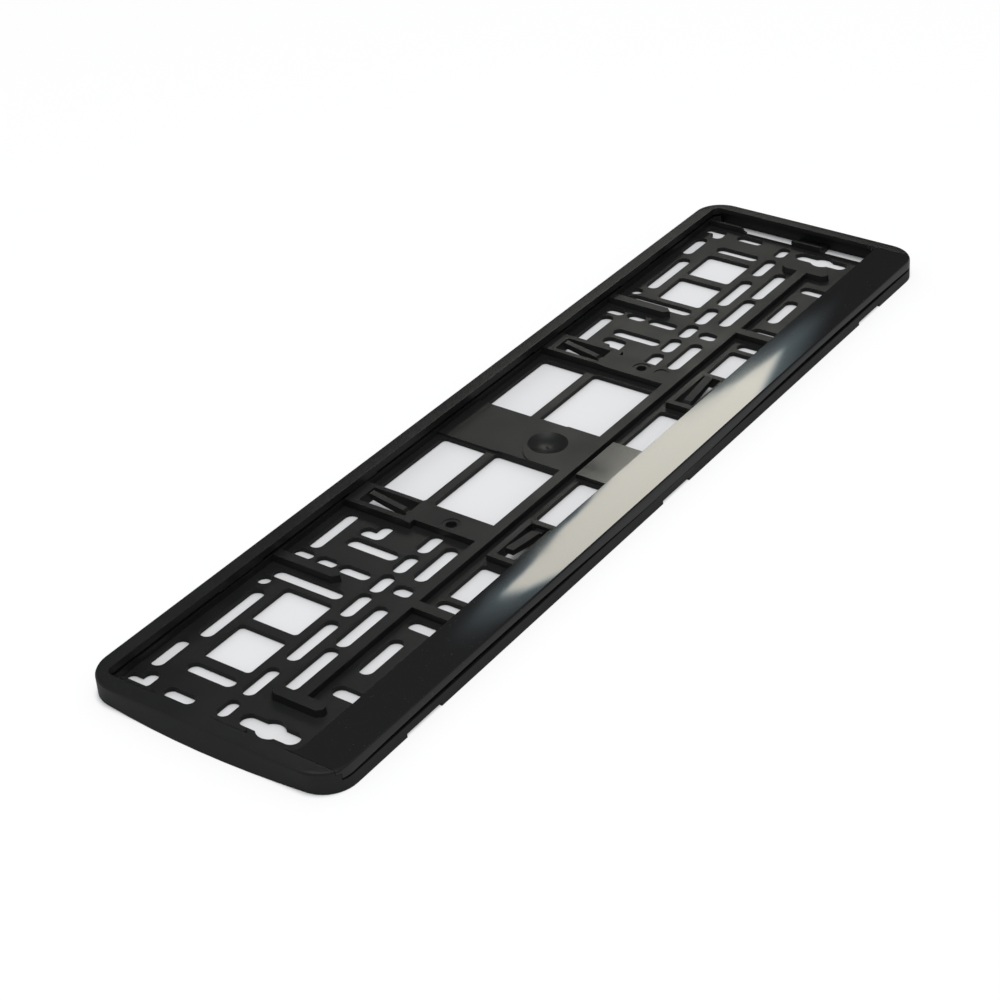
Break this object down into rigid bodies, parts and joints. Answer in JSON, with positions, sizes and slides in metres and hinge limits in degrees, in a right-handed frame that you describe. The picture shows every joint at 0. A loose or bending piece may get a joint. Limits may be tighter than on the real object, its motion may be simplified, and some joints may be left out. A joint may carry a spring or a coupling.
{
  "type": "number plate holder",
  "caption": "Flat rectangular perforated plastic number plate holder with a raised rim, a clip-on lower strip, spring tongues and screw holes.",
  "frame": {"origin": "centre of the holder's outline at its flat back face", "axes": "+X along the number plate, +Y from the clip-on strip to the top rim, +Z out of the face that the plate is seen from"},
  "size_m": [0.532, 0.1332, 0.011],
  "materials": {
    "base_plastic": "fine satin moulded finish",
    "strip_plastic": "smooth glossy moulded finish"
  },
  "bodies": {
    "root": {"base_frame": "base_plastic", "bottom_strip": "strip_plastic"}
  },
  "joints": []
}
